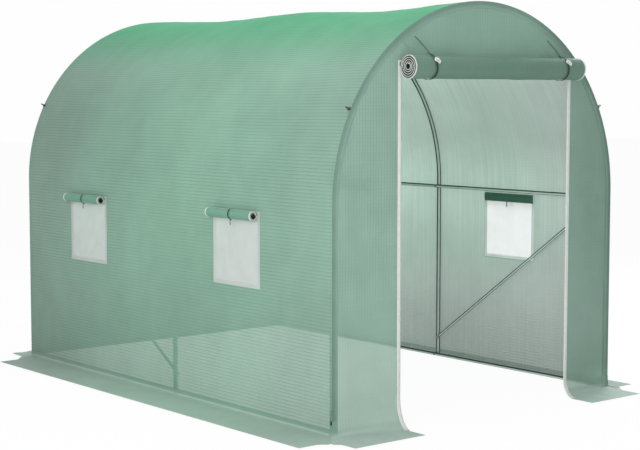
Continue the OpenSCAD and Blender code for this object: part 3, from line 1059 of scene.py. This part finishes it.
def tie_parts(side, node):
    """A tie round a window's roll with a hanging end, its end inside, and its knot."""
    a, b = low(node), high(node)
    r = (b[0] - a[0]) / 2
    axis = np.array([(a[0] + b[0]) / 2, (a[1] + b[1]) / 2 - 0.004, a[2] + r])
    to_wall = np.array([-side, 0, 0.0])
    along = np.array([0, 1.0, 0])
    path = []
    for t in np.radians(spaced([60, 262], 8)):
        under = (1 - math.cos(t)) / 2
        rr = r + 0.0012 - 0.0018 * under
        path.append(axis + rr * math.cos(t) * to_wall + rr * math.sin(t) * UP
                    + (0.008 - 0.016 * under) * along)
    drop = path[-1]
    for q in np.linspace(0.004, 0.030, 6):
        path.append(drop - UP * q + 0.0025 * math.sin(q * 130) * along - to_wall * 0.06 * q)
    head = axis + to_wall * (r + 0.012)
    head[2] = window_z[1] - HEADER_H + 0.004
    hang = [head - UP * q + to_wall * 0.002 * math.sin(q * 90)
            for q in np.linspace(0.0, 0.034, 7)]
    knot = axis - UP * (r + 0.002) + 0.001 * along
    return [band(path, along, TIE_W, TIE_T), band(hang, along, TIE_W, TIE_T),
            solid_sweep(circle(knot, 0.004 * along, 0.003 * to_wall, 12),
                        ring_profile(0.0022, 8), (0.3, 0.2, 1.0), closed=True)]


def make_ties():
    for side, name in SIDES:
        parts = [part for end in ("front", "back")
                 for part in tie_parts(side, f"{name}_window_roll_{end}")]
        joined(f"{name}_flap_ties", parts, webbing, [f"{name}_window_ties"])


# ---- door trims and edge seams

# The door tape's section: out from the doorway's edge, off the wall, and along the tape.
TAPE_SECTION = ((-0.003, -0.0015, 0.0), (-0.003, 0.0022, 0.003), (0.005, 0.0030, 0.011),
                (0.012, 0.0024, 0.018), (0.018, 0.0022, 0.024), (0.0200, 0.0012, 0.027))
TOOTH_PITCH = 0.006
# The seam's section: in from the cover, and off the wall.
SEAM_SECTION = ((-0.036, 0.0008), (-0.035, 0.0012), (-0.016, 0.0013), (-0.004, 0.0013),
                (0.0, 0.0012))


def door_edge_path(side):
    """The doorway's edge from its top down the wall, round the cove and out on the flap."""
    reach, cove_h = TRIM_REACH[side], COVE[side][0]
    path = [(door_x[side], front_y, z) for z in spaced([door_top, cove_h], 0.03)]
    for a in np.radians(np.linspace(0, 90, 15)[1:]):
        forward = 1 - math.cos(a)
        path.append((door_x[side] - FLAP_DRIFT * forward, front_y - reach * forward,
                     LAID_Z + (cove_h - LAID_Z) * (1 - math.sin(a))))
    return np.array(path)


def tooth(p, a, b, c):
    """A small block about p with those three half sides, with its outer corners drawn in."""
    points = [p + a * i * grow + b * j * grow + c * k for k, grow in ((-1, 1.0), (1, 0.7))
              for i, j in ((-1, -1), (1, -1), (1, 1), (-1, 1))]
    faces = [(3, 2, 1, 0), (4, 5, 6, 7), (0, 1, 5, 4), (1, 2, 6, 5), (2, 3, 7, 6), (3, 0, 4, 7)]
    return points, faces


def make_trims():
    for side, name in SIDES:
        path = door_edge_path(side)
        along = unit(np.gradient(path, axis=0))
        out = unit(np.array([side, 0, 0.0]) - side * along[:, :1] * along)
        lift = np.cross(along, out) * side
        lift *= np.where((lift @ np.array([0, -1.0, 0.5]))[:, None] > 0, 1, -1)
        run = lengths(path)
        outward, lifted, across = np.array(TAPE_SECTION).T[:, :, None]
        cloth = Patches()
        cloth.add(path + out * outward[..., None] + lift * lifted[..., None],
                  stacked(across, run), flip=side < 0)
        obj = cloth.piece(f"{name}_door_tape", white_tape, "zip_trim")
        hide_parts(f"door_trim_{name}")
        seats = path + lift * 0.0030 + out * 0.004
        teeth = []
        for at in TOOTH_PITCH * np.arange(int(run[-1] / TOOTH_PITCH)):
            p = np.array([np.interp(at, run, seats[:, c]) for c in range(3)])
            i = min(int(np.searchsorted(run, at)), len(path) - 1)
            teeth.append(tooth(p, out[i] * 0.0022, along[i] * 0.0018, lift[i] * 0.0009))
        zip_line = joined(f"{name}_door_zip", teeth, white_tape)


def make_seams():
    """The bound seams where the cover meets the end walls, painted darker as the shade of the end
    hoops behind them.
    """
    base = np.array([(-1, z) for z in spaced([0.004, wall_h], 0.05)]
                    + [(-math.cos(a), wall_h + math.sin(a))
                       for a in np.radians(spaced([0, 180], 2.0))[1:-1]]
                    + [(1, z) for z in spaced([wall_h, 0.004], 0.05)])
    out = unit(stacked(base[:, 0], np.maximum(base[:, 1] - wall_h, 0)))
    run = lengths(base)
    inward, off = np.array(SEAM_SECTION).T[:, :, None]
    ring = base + out * (skin_r - 1.0 + 0.001 + inward[..., None])
    for name, y, way in (("front", front_y, -1), ("back", back_y, 1)):
        cloth = Patches()
        cloth.add(stacked(centre_x + ring[..., 0], y + way * off, ring[..., 1]),
                  stacked(inward, run), flip=way > 0)
        obj = cloth.piece(f"{name}_seam", seam_painted_shade_film, "cover_fabric")


# ---- clips and bolts

CLIP_ANGLE = math.radians(27.4)  # above the arch's springing
CLIP_SHIFT = 0.008
BOLT_RINGS = ((1.45, 0.0), (1.45, 0.0012), (1.0, 0.0013), (1.0, 0.0028), (0.85, 0.0040),
              (0.5, 0.0048), (0.05, 0.0052))


def make_clips():
    """Clips on the end hoops: a saddle that follows the arch, with a ring standing on it."""
    c, s = math.cos(CLIP_ANGLE), math.sin(CLIP_ANGLE)
    sideways = np.array([0, 1.0, 0])
    parts = []
    for side, _ in SIDES:
        out, along = np.array([side * c, 0, s]), np.array([-side * s, 0, c])
        for y in (hoop_y[0] - CLIP_SHIFT, hoop_y[2] + CLIP_SHIFT):
            seat = np.array([centre_x, y, wall_h]) + out * (outer_r + 0.0018)
            base = [seat + along * t - out * (t * t / 2) for t in np.linspace(-0.007, 0.007, 6)]
            ring = circle(seat + out * 0.0125, 0.0090 * out, 0.0090 * sideways, 24)
            neck = [seat + out * t for t in np.linspace(0.0005, 0.0060, 3)]
            parts += [solid_sweep(base, rounded_profile(0.022, 0.0032, 0.0012), sideways),
                      solid_sweep(ring, ring_profile(0.0021, 10), along, closed=True),
                      solid_sweep(neck, rounded_profile(0.008, 0.006, 0.002), sideways)]
    joined("arch_clips", parts, clip_plastic, ["cover_clips"])


def bolt(at, out, head_r=0.0065, n=14):
    """A domed bolt head on a washer, as points and faces."""
    first = unit(np.cross(out, UP))
    second = np.cross(out, first)
    points = [p for k, h in BOLT_RINGS
              for p in circle(at + h * out, head_r * k * first, head_r * k * second, n)]
    return points, tube_faces(len(BOLT_RINGS), n)


def make_bolts():
    """Bolts through the purlins and ground rails at each hoop, and at the braces' ends."""
    parts = []
    for side, name, head_hoop in ((1, "right", 0), (-1, "left", 2)):
        inward = np.array([-side, 0, 0.0])
        purlin, rail = middle(f"{name}_purlin"), middle(f"{name}_ground_rail")
        rail_r = (high(f"{name}_purlin")[0] - low(f"{name}_purlin")[0]) / 2
        seat = inward * (rail_r + 0.0002)
        parts += [bolt(np.array([purlin[0], y, purlin_z]) + seat, inward) for y in hoop_y]
        parts += [bolt(np.array([rail[0], y, rail[2]]) + seat, inward, 0.005) for y in hoop_y]
        brace = low(f"{name}_brace"), high(f"{name}_brace")
        foot = (brace[side > 0][0], hoop_y[1], brace[0][2] + 0.010)
        head = (brace[side < 0][0], hoop_y[head_hoop], brace[1][2] - 0.010)
        parts += [bolt(np.array(end) + inward * 0.0035, inward, 0.006) for end in (foot, head)]
    joined("frame_bolts", parts, bolt_steel)


def dress_frame():
    steels = {"hoop": hoop_steel, "purlin": rail_steel, "rail": rail_steel,
              "brace": brace_steel}
    for name, node in frame["nodes"].items():
        steel = steels.get(name.split("_")[-1])
        if steel:
            node.data.materials.clear()
            node.data.materials.append(steel)


# ---- studio

WORLD_LIGHT = 0.50
FLOOR_HALF = 40.0
FLOOR_Z = -0.0006


def seen_rays(m):
    path = m.add("ShaderNodeLightPath")
    return m.math("MAXIMUM", *(path.outputs[f"Is {kind} Ray"]
                               for kind in ("Camera", "Glossy", "Transmission")))


def make_floor():
    m = Maker("studio_floor")
    plain = m.out("ShaderNodeBsdfDiffuse", {"Color": (0.96, 0.96, 0.96)})
    white = m.out("ShaderNodeEmission", {"Color": WHITE, "Strength": 1.0})
    material = m.done(m.mixed(m.times(seen_rays(m), 0.95), plain, white))
    mesh = bpy.data.meshes.new("floor")
    mesh.from_pydata([(x * FLOOR_HALF, y * FLOOR_HALF, FLOOR_Z)
                      for x, y in ((-1, -1), (1, -1), (1, 1), (-1, 1))], [], [(0, 1, 2, 3)])
    mesh.materials.append(material)
    floor = bpy.data.objects.new("floor", mesh)
    bpy.context.scene.collection.objects.link(floor)


def make_world():
    world = bpy.data.worlds.new("studio")
    bpy.context.scene.world = world
    m = Maker("studio", world)
    sky = m.out("ShaderNodeBackground", {"Color": WHITE, "Strength": WORLD_LIGHT})
    white = m.out("ShaderNodeBackground", {"Color": (0.99, 0.99, 0.99)})
    m.done(m.mixed(seen_rays(m), sky, white), "ShaderNodeOutputWorld")


def lamp(name, place, aim, size, power):
    data = bpy.data.lights.new(name, "AREA")
    data.shape, data.size, data.energy = "DISK", size, power
    obj = bpy.data.objects.new(name, data)
    bpy.context.scene.collection.objects.link(obj)
    obj.location = place
    obj.visible_camera = False
    way = Vector(aim) - Vector(place)
    obj.rotation_euler = way.to_track_quat("-Z", "Y").to_euler()


def make_lights():
    lamp("key", (-4.6, -3.6, 2.6), (-0.6, -0.8, 1.0), 2.4, 110)
    lamp("door", (-1.7, -5.2, 0.9), (0.9, 0.3, 1.7), 1.2, 7)
    lamp("top", (0.0, -0.5, 6.5), (0, 0, 1.5), 5.0, 125)
    lamp("side", (4.5, 1.0, 4.0), (0.8, 0.3, 1.3), 3.0, 130)


def make_camera():
    data = bpy.data.cameras.new("camera")
    data.sensor_width, data.lens = 36.0, 85.5
    camera = bpy.data.objects.new("camera", data)
    camera.location = (-5.488, -6.902, 1.629)
    camera.rotation_euler = (math.radians(85.09), 0.0, math.radians(-39.15))
    bpy.context.scene.collection.objects.link(camera)
    bpy.context.scene.camera = camera


# ---- building

make_camera()
make_world()
make_lights()
make_floor()
bpy.context.scene.view_settings.view_transform = "Standard"
dress_frame()
make_cover()
make_front_wall()
make_back_wall()
make_seams()
make_windows()
make_door_roll()
make_window_rolls()
make_straps()
make_strap_tails()
make_buckles()
make_ties()
make_trims()
make_clips()
make_bolts()
